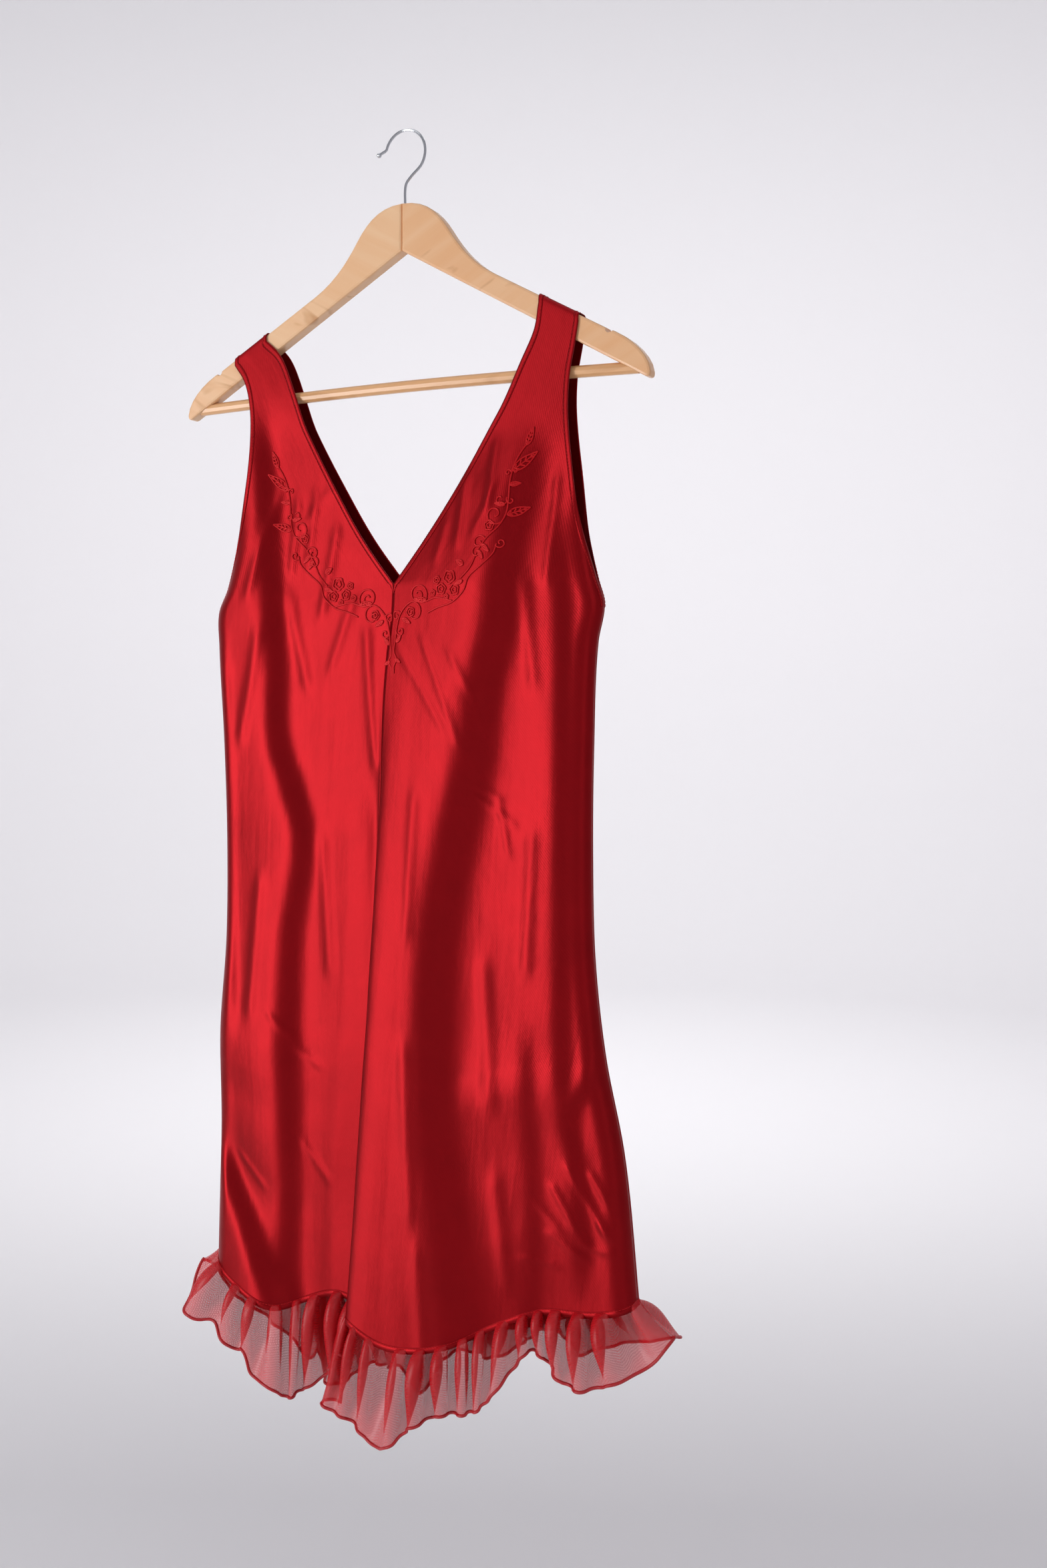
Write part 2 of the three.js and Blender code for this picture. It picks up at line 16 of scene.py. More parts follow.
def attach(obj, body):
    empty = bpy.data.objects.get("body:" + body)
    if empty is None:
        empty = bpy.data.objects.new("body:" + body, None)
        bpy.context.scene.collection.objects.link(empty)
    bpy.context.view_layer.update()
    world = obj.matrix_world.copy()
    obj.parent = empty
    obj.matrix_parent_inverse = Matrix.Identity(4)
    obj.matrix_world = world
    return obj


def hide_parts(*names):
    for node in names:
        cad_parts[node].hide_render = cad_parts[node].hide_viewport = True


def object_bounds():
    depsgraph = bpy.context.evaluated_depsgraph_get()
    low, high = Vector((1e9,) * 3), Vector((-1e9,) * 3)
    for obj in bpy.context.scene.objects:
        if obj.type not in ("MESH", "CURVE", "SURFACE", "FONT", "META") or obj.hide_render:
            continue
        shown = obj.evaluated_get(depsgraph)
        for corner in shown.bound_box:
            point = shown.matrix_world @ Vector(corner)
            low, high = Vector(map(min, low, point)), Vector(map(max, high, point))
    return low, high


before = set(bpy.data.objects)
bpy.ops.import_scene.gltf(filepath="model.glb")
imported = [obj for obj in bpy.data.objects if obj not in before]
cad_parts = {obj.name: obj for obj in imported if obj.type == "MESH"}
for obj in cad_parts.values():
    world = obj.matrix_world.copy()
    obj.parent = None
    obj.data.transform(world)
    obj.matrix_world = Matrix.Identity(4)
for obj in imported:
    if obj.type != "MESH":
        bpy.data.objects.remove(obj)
cad_low, cad_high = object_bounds()
MM = 0.001
print("frame:", len(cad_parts), "nodes, height", round(cad_high[2] - cad_low[2], 3), "m")

# %% [markdown]
# ## The camera
# A 35 mm lens on a full-frame body, standing to the right of the dress and a little below the
# hanger, looking slightly down. The camera's own axes are built from its turn, its tilt and its roll.

# %% The camera
LENS, FILM_HEIGHT = 35.0, 36.0
CAMERA_AT = Vector((0.6694, -1.1134, -0.4753))
TURN, TILT, ROLL = math.radians(26.51), math.radians(-2.99), math.radians(0.40)


def camera_axes(turn, tilt, roll):
    """The camera's right, up and backward directions."""
    right = Vector((math.cos(turn), math.sin(turn), 0))
    level = Vector((-math.sin(turn), math.cos(turn), 0))
    ahead = level * math.cos(tilt) + Vector((0, 0, 1)) * math.sin(tilt)
    up = Vector((0, 0, 1)) * math.cos(tilt) - level * math.sin(tilt)
    return right * math.cos(roll) + up * math.sin(roll), up * math.cos(roll) - right * math.sin(roll), -ahead


camera_data = bpy.data.cameras.new("camera")
camera_data.lens = LENS
camera_data.sensor_width = FILM_HEIGHT
camera_data.clip_start = 0.05
camera = bpy.data.objects.new("camera", camera_data)
right, up, back = camera_axes(TURN, TILT, ROLL)
camera.matrix_world = Matrix.Translation(CAMERA_AT) @ Matrix((right, up, back)).transposed().to_4x4()
bpy.context.scene.collection.objects.link(camera)
bpy.context.scene.camera = camera

# %% [markdown]
# ## Colours and nodes
# Colours are written as the sRGB hex values that a maker would match by eye, and one function turns
# them linear. Another small function adds a node with its settings and its links.

# %% Helpers for materials
def colour(code):
    """A hex sRGB colour as linear RGBA."""
    parts = [int(code[i:i + 2], 16) / 255 for i in (1, 3, 5)]
    return [c / 12.92 if c <= 0.04045 else ((c + 0.055) / 1.055) ** 2.4 for c in parts] + [1.0]


def add_node(tree, kind, settings=None, **inputs):
    """Adds a node. A value that is a socket is linked, and any other is set."""
    node = tree.nodes.new(kind)
    for name, value in (settings or {}).items():
        setattr(node, name, value)
    for name, value in inputs.items():
        socket = node.inputs[int(name[1:])] if name[1:].isdigit() else node.inputs[name.replace("_", " ")]
        if isinstance(value, bpy.types.NodeSocket):
            tree.links.new(value, socket)
        else:
            socket.default_value = value
    return node


def new_material(name):
    """An empty node material with its Principled shader and its output."""
    material = bpy.data.materials.new(name)
    material.use_nodes = True
    tree = material.node_tree
    tree.nodes.clear()
    shader = add_node(tree, "ShaderNodeBsdfPrincipled")
    add_node(tree, "ShaderNodeOutputMaterial", Surface=shader.outputs[0])
    return material, tree, shader


# %% [markdown]
# ## The stage
# The dress hangs over a plain pale floor that sweeps up into a pale wall all round, like a round
# studio cove, so every view has the same quiet background.

# %% The stage and the lights
FLOOR_Z = cad_low[2] - 0.45


def round_cove(radius, rise):
    """A floor disc whose rim curves up into a wall."""
    profile = [(0.01, 0.0), (radius - 1.5, 0.0)]
    profile += [(radius - 1.5 + 1.5 * math.sin(a), 1.5 - 1.5 * math.cos(a)) for a in np.linspace(0.2, math.pi / 2, 8)]
    profile.append((radius, rise))
    sides = 96
    points, faces = [], []
    for r, z in profile:
        for i in range(sides):
            a = 2 * math.pi * i / sides
            points.append((r * math.cos(a), r * math.sin(a), FLOOR_Z + z))
    for k in range(len(profile) - 1):
        for i in range(sides):
            j = (i + 1) % sides
            faces.append((k * sides + i, k * sides + j, (k + 1) * sides + j, (k + 1) * sides + i))
    faces.append(tuple(range(sides)))
    mesh = bpy.data.meshes.new("cove")
    mesh.from_pydata(points, [], faces)
    mesh.shade_smooth()
    return mesh


cove = bpy.data.objects.new("cove", round_cove(radius=6.0, rise=6.0))
bpy.context.scene.collection.objects.link(cove)
cove_material, cove_tree, cove_shader = new_material("matt pale studio paint")
cove_shader.inputs["Base Color"].default_value = colour("#F0EEF0")
cove_shader.inputs["Roughness"].default_value = 0.9
cove.data.materials.append(cove_material)


def area_light(name, at, aim, size, power):
    """A soft box at a place, aimed at a point."""
    data = bpy.data.lights.new(name, "AREA")
    data.shape, data.size, data.size_y, data.energy = "RECTANGLE", size[0], size[1], power
    light = bpy.data.objects.new(name, data)
    light.location = at
    light.rotation_euler = (Vector(aim) - Vector(at)).to_track_quat("-Z", "Y").to_euler()
    bpy.context.scene.collection.objects.link(light)


MIDDLE = (0, 0, -0.6)
area_light("key", (-1.75, -2.3, -0.65), MIDDLE, (0.8, 1.7), 40)
area_light("fill", (1.9, -2.2, 0.5), MIDDLE, (1.4, 1.4), 6)
area_light("wall_wash", (-0.6, 1.4, 1.4), (-2.6, 6.0, 0.0), (2.4, 1.2), 104)
area_light("floor_wash", (0.0, -0.4, 3.0), (0.0, 0.2, -1.5), (4.0, 4.0), 36)
world = bpy.data.worlds.new("studio air")
bpy.context.scene.world = world
world.use_nodes = True
world.node_tree.nodes["Background"].inputs["Color"].default_value = colour("#F4F6FF")
world.node_tree.nodes["Background"].inputs["Strength"].default_value = 0.3
bpy.context.scene.view_settings.view_transform = "Standard"

# %% [markdown]
# ## The dress's shape
# The dress is a flat tube of cloth. Each level section is worked out from short tables: the outline
# of the neck and the sides, how deep the front and back hang, and the long folds. The centre front
# seam hides in an S-shaped lap, where the right half stands before the left.

# %% The dress's tables, in millimetres
DRESS_X, V_POINT, UNDERARM, HEM = -3.0, -375.0, -395.0, -1000.0
SATIN, EDGE_WIDTH, LAP_REACH = 0.45, 5.0, 30.0
BEND = {"middle": 149.0, "start": -167.0, "rise": 7.4, "length": 12.0, "level": -240.0}
HANGER_SLOPE = 0.54
SIDE_ROUND, SIDE_FROM = 16.0, -285.0

NECKLINE = {
    "z": [-375, -335, -290, -242, -214, -188, -167],
    "left": [0, 32, 61, 89, 103, 117, 133],
    "right": [0, 32, 64, 94, 112, 127, 131],
}
SIDELINE = {
    "z": [-1000, -870, -780, -690, -600, -510, -425, -395, -375, -335, -290, -242, -214, -188, -167],
    "left": [190, 187, 188, 181, 180, 183, 188, 188, 178, 165, 155, 150, 151, 157, 167],
    "right": [223, 209, 192, 182, 179, 179, 182, 187, 181, 170, 163, 158, 159, 163, 166],
}
DEPTHS = {
    "z": [-1000, -760, -560, -470, -395, -300, -220, -150],
    "front": [15, 13, 12, 12, 12, 9.5, 7.6, 7.3],
    "back": [15, 12, 11, 11, 10.5, 9, 7.4, 7.3],
    "lap": [19, 15, 8, 2, 0, 0, 0, 0],
    "step": [18, 11, 4, 1, 0, 0, 0, 0],
    "fold": [-42, -25, -13, -9, -2, 0, 0, 0],
}
HEM_LEFT = {"at": [0, 0.22, 0.55, 0.8, 1], "z": [-1009, -998, -1017, -1002, -980]}
HEM_RIGHT = {"at": [0, 0.18, 0.38, 0.68, 0.86, 1], "z": [-1009, -1026, -1016, -976, -968, -955]}
HEM_BACK = {"at": [0, 0.35, 0.7, 1], "z": [-1016, -1010, -985, 0]}

# Where the front turns away to the right, as paths down the cloth: the width of the turn and its slope.
FRONT_TURNS = {
    "left": [
        {"z": [-1000, -860, -680, -590, -548, -510, -433, -344, -235],
         "x": [-116, -111, -108, -94, -108, -122, -124, -132, -143], "width": 13, "slope": 0.42},
        {"z": [-1000, -940, -881, -800], "x": [-112, -150, -186, -200], "width": 16, "slope": 0.45},
        {"z": [-1000, -900, -760, -620, -560], "x": [-62, -60, -44, -36, -34], "width": 9, "slope": 0.26},
        {"z": [-760, -640, -480, -430], "x": [-168, -172, -176, -178], "width": 7, "slope": 0.22},
    ],
    "right": [
        {"z": [-1000, -949, -893, -809, -668, -583, -515, -467, -406, -355, -321, -271],
         "x": [72, 65, 57, 43, 44, 61, 78, 84, 100, 105, 112, 123], "width": 19, "slope": 0.46},
        {"z": [-820, -768, -660, -486, -414, -340], "x": [160, 157, 156, 155, 154, 150], "width": 9, "slope": 0.34},
        {"z": [-960, -879, -819, -805, -780], "x": [176, 173, 167, 178, 188], "width": 8, "slope": 0.4},
        {"z": [-1000, -940, -860, -760], "x": [128, 134, 131, 124], "width": 9, "slope": 0.2},
    ],
}
# Small creases on the front: from (x, z) to (x, z), how wide and how high.
CREASE_SHARE = 0.75
CREASES = [
    (-70, -296, -98, -322, 4.0, 0.9), (-62, -332, -76, -392, 5.0, 1.4), (-84, -300, -92, -352, 4.5, 1.0),
    (-104, -306, -110, -356, 5.0, 1.2), (-126, -300, -150, -372, 5.5, 1.3), (-46, -392, -66, -440, 5.0, 1.1),
    (-110, -390, -96, -452, 6.0, 1.2), (-142, -420, -160, -500, 6.0, 1.2), (-30, -420, -28, -520, 5.0, 1.2),
    (-140, -640, -150, -742, 6.0, 1.3), (-76, -600, -70, -700, 6.0, 1.2), (-126, -748, -108, -762, 2.6, 0.8),
    (-104, -772, -82, -790, 2.6, 0.8), (-96, -858, -74, -892, 3.0, 0.9), (-160, -884, -140, -896, 2.8, 1.0),
    (92, -270, 88, -312, 4.5, 1.3), (64, -296, 60, -338, 4.5, 1.3), (78, -330, 92, -300, 4.0, 0.8),
    (46, -330, 40, -352, 4.0, 0.8), (146, -300, 140, -372, 4.5, 1.1), (120, -384, 128, -452, 6.0, 1.2),
    (4, -430, 46, -492, 3.2, 0.8), (28, -424, 62, -504, 3.0, 0.7), (56, -436, 82, -478, 3.0, 0.7),
    (72, -540, 96, -552, 2.4, 0.9), (78, -552, 110, -572, 2.4, 0.9), (98, -560, 106, -596, 3.0, 0.8),
    (20, -560, 14, -660, 6.0, 1.2), (128, -590, 124, -690, 6.0, 1.3), (84, -700, 92, -800, 7.0, 1.4),
    (14, -760, 22, -880, 6.0, 1.2), (98, -880, 108, -960, 6.0, 1.4), (30, -920, 36, -1000, 6.0, 1.2),
    (152, -892, 178, -934, 3.4, 1.6), (166, -874, 196, -930, 3.2, 1.8), (184, -880, 202, -912, 3.0, 1.6),
    (150, -930, 176, -948, 3.0, 1.4), (178, -938, 206, -950, 2.8, 1.5), (194, -926, 212, -944, 2.8, 1.4),
    (140, -908, 156, -926, 3.0, 1.1), (128, -948, 150, -956, 3.0, 1.1),
]
BACK_FOLDS = [
    {"z": [-240, -560, -1000], "x": [-140, -128, -120], "rise": [2, 7, 12], "left": 26, "right": 30},
    {"z": [-420, -700, -1000], "x": [-40, -46, -40], "rise": [1, 5, 10], "left": 34, "right": 26},
    {"z": [-420, -700, -1000], "x": [52, 48, 56], "rise": [1, 6, 11], "left": 28, "right": 36},
    {"z": [-240, -560, -1000], "x": [142, 128, 142], "rise": [2, 6, 12], "left": 28, "right": 26},
]


# %% Reading the tables
def smooth(t):
    return t * t * (3 - 2 * t)


def fade(value, start, end):
    """0 before start, 1 after end, and a soft step between them."""
    return smooth(np.clip((value - start) / (end - start), 0, 1))


def read(table, key, column, at):
    """A smooth reading between the rows of a table."""
    keys, values = np.array(table[key], float), np.array(table[column], float)
    place = np.clip(at, keys[0], keys[-1])
    i = np.clip(np.searchsorted(keys, place) - 1, 0, len(keys) - 2)
    chords = np.diff(values) / np.diff(keys)
    slopes = np.concatenate([chords[:1], (chords[1:] + chords[:-1]) / 2, chords[-1:]])
    span, change = keys[i + 1] - keys[i], values[i + 1] - values[i]
    t = (place - keys[i]) / span
    curve = (slopes[i] * (1 - t) - slopes[i + 1] * t) * span - (1 - 2 * t) * change
    return values[i] + t * change + t * (1 - t) * curve


def lift(folds, x, z):
    """How far the folds raise the cloth at (x, z)."""
    total = np.zeros(np.broadcast(x, z).shape)
    for fold in folds:
        rows = {"z": fold["z"][::-1], "x": fold["x"][::-1], "rise": fold["rise"][::-1]}
        off = x - read(rows, "z", "x", z)
        width = np.where(off < 0, fold["left"], fold["right"])
        rise = read(rows, "z", "rise", z) * fade(z, fold["z"][0] + 50, fold["z"][0] - 20)
        total += rise * np.exp(-((off / width) ** 2))
    return total


# %% The sections
def seam_x(z):
    """Where the centre front seam lies, behind the lap's edge."""
    lap = read(DEPTHS, "z", "lap", z)
    reach = LAP_REACH / math.pi
    angle = np.arccos(reach / np.maximum(lap, reach))
    return read(DEPTHS, "z", "fold", z) + lap * np.sin(angle) - reach * angle


def step_sum(turns, x, z):
    """The cloth's rise to the front from all the turns of one half, each a soft step down to the right."""
    total = np.zeros(np.broadcast(x, z).shape)
    for turn in turns:
        low, high = turn["z"][0], turn["z"][-1]
        ends = fade(z, high + 30, high - 30)
        if low > HEM:
            ends = ends * fade(z, low - 40, low + 40)
        across = (x - read(turn, "z", "x", z)) / turn["width"]
        total -= ends * turn["slope"] * turn["width"] * 0.886 * np.tanh(1.2 * across)
    return total


def crease_sum(x, z):
    """Small creases, each a soft ridge along a short straight line."""
    total = np.zeros(np.broadcast(x, z).shape)
    for x0, z0, x1, z1, width, height in CREASES:
        reach = math.hypot(x1 - x0, z1 - z0)
        along = ((x - x0) * (x1 - x0) + (z - z0) * (z1 - z0)) / reach
        off = ((x - x0) * (z1 - z0) - (z - z0) * (x1 - x0)) / reach
        past = np.maximum(np.abs(along - reach / 2) - reach / 2, 0)
        total += CREASE_SHARE * height * np.exp(-((off / width) ** 2) - (past / (2.2 * width)) ** 2)
    return total


def front_rise(half, x, z, inner_x, outer_x):
    """The turns, levelled so that the cloth comes back to its place at both ends of the half."""
    turns = FRONT_TURNS[half]
    at_inner, at_outer = step_sum(turns, inner_x, z), step_sum(turns, outer_x, z)
    share = np.clip((x - inner_x) / (outer_x - inner_x), 0, 1)
    quiet = fade(share, 0, 0.06) * fade(1 - share, 0, 0.06)
    return step_sum(turns, x, z) - at_inner - (at_outer - at_inner) * share + crease_sum(x, z) * quiet


def section(face, half, z, t):
    """Level section points (x, y) of a half panel, t from its middle out to its side."""
    sign = 1 if half == "right" else -1
    front = face == "front"
    middle = seam_x(z) * fade(z, V_POINT, V_POINT - 60) if front else 0 * z
    inner = np.where(z > V_POINT, read(NECKLINE, "z", half, z), 0)
    outer = read(SIDELINE, "z", half, z) - sign * middle
    m = inner + (outer - inner) * (1 - (1 - t) ** 2)
    x = DRESS_X + middle + sign * m
    lap = read(DEPTHS, "z", "lap", z) if front else 0 * z
    step = read(DEPTHS, "z", "step", z) if front else 0 * z
    near = np.minimum(m / LAP_REACH, 1)
    swing = -sign * lap * np.sin(math.pi * near)
    settle = 1 - fade(m, LAP_REACH, outer * 0.8)
    stand = -sign * step * (smooth((1 + near) / 2) - 0.5) * settle
    to_edge = np.clip((outer - m) / SIDE_ROUND, 0, 1)
    curl = 1 - fade(z, SIDE_FROM, UNDERARM) * (1 - np.sqrt(1 - (1 - to_edge) ** 2))
    if front:
        rise = front_rise(half, x, z, DRESS_X + middle + sign * inner, DRESS_X + middle + sign * outer)
    else:
        rise = lift(BACK_FOLDS, x, z)
    depth = (read(DEPTHS, "z", face, z) + rise) * curl
    return x + swing, (-depth + stand) if front else depth


def hem_z(face, half, share):
    """Height of the satin hem at a share of a half panel."""
    rows = HEM_RIGHT if half == "right" else HEM_LEFT
    if face == "back":
        rows = {"at": HEM_BACK["at"], "z": HEM_BACK["z"][:-1] + rows["z"][-1:]}
    return read(rows, "at", "z", share)


def panel(face, half, shares, heights):
    """Points of a half panel as (heights, shares, 3): share 0 is its neck edge or centre seam."""
    heights, shares = np.asarray(heights, float), np.asarray(shares, float)
    z = np.minimum(heights, BEND["start"])[:, None]
    t = np.linspace(0, 1, 240)[None, :]
    x, y = section(face, half, z + 0 * t, t + 0 * z)
    step = np.hypot(np.diff(x, axis=1), np.diff(y, axis=1))
    run = np.concatenate([np.zeros((len(z), 1)), np.cumsum(step, axis=1)], axis=1)
    run /= run[:, -1:]
    px = np.array([np.interp(s, r, v) for s, r, v in zip(shares * np.ones((len(z), 1)), run, x)])
    py = np.array([np.interp(s, r, v) for s, r, v in zip(shares * np.ones((len(z), 1)), run, y)])
    tilt = HANGER_SLOPE * (np.abs(px) - BEND["middle"]) * fade(z, BEND["level"], BEND["start"])
    drop = (hem_z(face, half, shares)[None, :] - HEM) * fade(z, -560, HEM)
    angle = np.clip((heights - BEND["start"]) / BEND["length"], 0, 1)[:, None] * math.pi / 2
    py = py * np.sqrt(np.cos(angle))
    pz = z - tilt + drop + BEND["rise"] * np.sqrt(np.sin(angle))
    return np.stack([px, py, pz], axis=2)


# %% [markdown]
# ## Cloth as a thin wall
# A panel starts as a grid of points on the middle of the cloth. Solidify then gives it its real
# thickness, so that it is a closed body. The UV map keeps real metres across and down the cloth, and
# the weave is drawn on it.

# %% Building cloth
def sheet_mesh(name, grids, outward, thickness, material):
    """A closed cloth piece from one or more grids of points in millimetres."""
    points, faces, uvs = [], [], []
    for grid, flip in zip(grids, outward):
        rows, columns = grid.shape[:2]
        start = len(points)
        points += [tuple(p) for p in (grid * MM).reshape(-1, 3)]
        index = start + np.arange(rows * columns).reshape(rows, columns)
        across = np.linalg.norm(np.diff(grid, axis=1), axis=2).cumsum(axis=1) * MM
        across = np.concatenate([np.zeros((rows, 1)), across], axis=1)
        down = np.linalg.norm(np.diff(grid, axis=0), axis=2).cumsum(axis=0) * MM
        down = np.concatenate([np.zeros((1, columns)), down], axis=0)
        for i in range(rows - 1):
            for j in range(columns - 1):
                cell = [(i, j), (i + 1, j), (i + 1, j + 1), (i, j + 1)]
                cell = cell[::-1] if flip else cell
                faces.append([index[c] for c in cell])
                uvs += [(across[c], down[c]) for c in cell]
    mesh = bpy.data.meshes.new(name)
    mesh.from_pydata(points, [], faces)
    layer = mesh.uv_layers.new(name="cloth")
    layer.data.foreach_set("uv", np.array(uvs, np.float32).ravel())
    work = bmesh.new()
    work.from_mesh(mesh)
    bmesh.ops.remove_doubles(work, verts=work.verts, dist=2e-6)
    work.to_mesh(mesh)
    work.free()
    piece = bpy.data.objects.new(name, mesh)
    bpy.context.scene.collection.objects.link(piece)
    wall = piece.modifiers.new("wall", "SOLIDIFY")
    wall.thickness, wall.offset, wall.use_even_offset = thickness * MM, 0, False
    finished = bpy.data.meshes.new_from_object(piece.evaluated_get(bpy.context.evaluated_depsgraph_get()))
    piece.modifiers.clear()
    piece.data = finished
    finished.name = name
    finished.materials.clear()
    finished.materials.append(material)
    finished.shade_smooth()
    print(name, len(finished.polygons), "faces")
    return piece


def cloth_area(piece):
    """The cloth's area in square metres: half of the closed wall's surface."""
    return sum(p.area for p in piece.data.polygons) / 2


# %% [markdown]
# ## Satin
# Polyester satin: long floats of filament yarn lie side by side, so the cloth shines in the colour of
# its dye, and softly. Part of the shine is therefore metallic in kind, with the cloth's own red. The
# bias cut turns the weave to 45 degrees. The real yarns are about 0.1 mm apart, which is too fine to
# show, so the ribs are drawn 0.9 mm apart and very shallow.

# %% The satin
def satin_material(name, dye, shine):
    material, tree, shader = new_material(name)
    uv = add_node(tree, "ShaderNodeUVMap", {"uv_map": "cloth"}).outputs[0]
    turned = add_node(tree, "ShaderNodeMapping", Vector=uv, Rotation=(0, 0, math.radians(45))).outputs[0]
    ribs = add_node(tree, "ShaderNodeTexWave", {"bands_direction": "X"}, Vector=turned, Scale=1 / 0.0058, Distortion=0.6)
    cloudy = add_node(tree, "ShaderNodeTexNoise", Vector=uv, Scale=26.0, Detail=4.0, Roughness=0.55)
    tone = add_node(tree, "ShaderNodeMix", {"data_type": "RGBA"}, Factor=cloudy.outputs[0])
    tone.inputs[6].default_value = colour(dye)
    tone.inputs[7].default_value = colour(shine)
    fine = add_node(tree, "ShaderNodeBump", Height=ribs.outputs[0], Strength=0.12, Distance=0.0002)
    soft = add_node(tree, "ShaderNodeBump", Height=cloudy.outputs[0], Strength=0.35, Distance=0.0012, Normal=fine.outputs[0])
    hung = add_node(tree, "ShaderNodeMapping", Vector=uv, Scale=(70.0, 9.0, 1.0)).outputs[0]
    streaks = add_node(tree, "ShaderNodeTexNoise", Vector=hung, Scale=1.0, Detail=3.0, Distortion=0.4)
    drape = add_node(tree, "ShaderNodeBump", Height=streaks.outputs[0], Strength=0.22, Distance=0.0012,
                     Normal=soft.outputs[0])
    tree.links.new(tone.outputs[2], shader.inputs["Base Color"])
    tree.links.new(drape.outputs[0], shader.inputs["Normal"])
    grain = add_node(tree, "ShaderNodeTangent", {"direction_type": "UV_MAP", "uv_map": "cloth"})
    tree.links.new(grain.outputs[0], shader.inputs["Tangent"])
    shader.inputs["Metallic"].default_value = 0.7
    shader.inputs["Roughness"].default_value = 0.43
    shader.inputs["Specular IOR Level"].default_value = 0.25
    shader.inputs["Anisotropic"].default_value = 0.7
    shader.inputs["Anisotropic Rotation"].default_value = 0.25
    shader.inputs["Sheen Weight"].default_value = 0.08
    shader.inputs["Sheen Tint"].default_value = colour("#FF2020")
    return material


satin = satin_material("bias-cut polyester satin, red", "#8C040E", "#9C0712")
edge_satin = satin_material("folded satin edge", "#8A040E", "#9A0711")

# %% [markdown]
# ## The panels
# Two front halves and one back. Their columns crowd together near the centre seam and the sides, where
# the cloth turns quickest.

# %% The panels
SEAM_INSET = 0.0008
strap_heights = np.concatenate([
    BEND["start"] + BEND["length"] * np.linspace(0.9995, 0, 16)[:-1],
    np.linspace(BEND["start"], V_POINT, 74),
])
body_heights = np.linspace(V_POINT, HEM, 216)[1:]
panel_heights = np.concatenate([strap_heights, body_heights])
crowded = np.linspace(0, 1, 92)
panel_shares = np.clip(crowded - 0.11 * np.sin(2 * math.pi * crowded) / math.pi, SEAM_INSET, 1 - SEAM_INSET)


def is_flipped(face, half):
    return (half == "right") != (face == "front")


front_pieces = {}
for half in ("left", "right"):
    grid = panel("front", half, panel_shares, panel_heights)
    front_pieces[half] = sheet_mesh(f"satin_front_{half}", [grid], [is_flipped("front", half)], SATIN, satin)
back_crowded = np.linspace(0, 1, 66)
back_shares = np.clip(back_crowded - 0.11 * np.sin(2 * math.pi * back_crowded) / math.pi, 0, 1 - SEAM_INSET)
back_grids = [panel("back", half, back_shares, panel_heights) for half in ("left", "right")]
back_piece = sheet_mesh("satin_back", back_grids, [is_flipped("back", "left"), is_flipped("back", "right")], SATIN, satin)

for half, piece in front_pieces.items():
    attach(piece, "root")
    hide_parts(f"front_{half}")
    print(piece.name, "area", round(cloth_area(piece), 4))
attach(back_piece, "root")
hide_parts("back")
print(back_piece.name, "area", round(cloth_area(back_piece), 4))

# %% [markdown]
# ## Turned edges
# The neck and the armholes are turned under twice and stitched down, so a narrow band of cloth lies
# doubled along them. Each band here is a strip of real width laid on the panel, a little proud of it.
# At the V the two bands meet in a mitre.

# %% Turned edges and the hem band
TURNED, HEM_BAND = 4.4, 6.0
MITRE = 7.7


def normals_of(grid):
    """Unit normals of a grid of points."""
    across, down = np.gradient(grid, axis=1), np.gradient(grid, axis=0)
    normal = np.cross(across, down)
    return normal / np.maximum(np.linalg.norm(normal, axis=2, keepdims=True), 1e-9)


def lifted(grid, face, height):
    """The grid moved off the cloth, away from the inside of the dress."""
    normal = normals_of(grid)
    turn = np.sign((normal[..., 1:2] * (-1 if face == "front" else 1)).mean())
    return grid + normal * turn * height


def half_length(face, half, heights):
    """Length of the cloth across a half panel at each height, in millimetres."""
    grid = panel(face, half, np.linspace(0, 1, 60), heights)
    return np.linalg.norm(np.diff(grid, axis=1), axis=2).sum(axis=1)


def edge_strip(face, half, edge, across):
    """A grid along an edge. across lists how far in each column lies, as shares of the band's width."""
    foot = V_POINT - MITRE if edge == "neck" else UNDERARM - 3
    heights = np.concatenate([strap_heights[:-1], np.linspace(V_POINT, foot, 14)])
    heights = np.unique(np.concatenate([heights[heights > foot], [foot]]))[::-1]
    line = panel(face, half, [0.0 if edge == "neck" else 1.0], heights)[:, 0]
    run = np.gradient(line, axis=0)
    slant = np.hypot(run[:, 0], run[:, 2]) / np.maximum(np.abs(run[:, 2]), 1e-6)
    width = TURNED * np.clip(slant, 1, 1.5)
    if edge == "neck":
        width = width * np.clip(1 - (V_POINT - heights) / MITRE, 0.02, 1)
    share = width / half_length(face, half, heights)
    rows = []
    for height, step in zip(heights, share):
        places = np.array(across) * step
        rows.append(panel(face, half, places if edge == "neck" else 1 - places, [height])[0])
    return np.array(rows)


def hem_strip(face, half, across):
    """A grid along the satin hem."""
    heights = HEM + HEM_BAND * np.array(across)
    return panel(face, half, panel_shares[1:-1], heights)


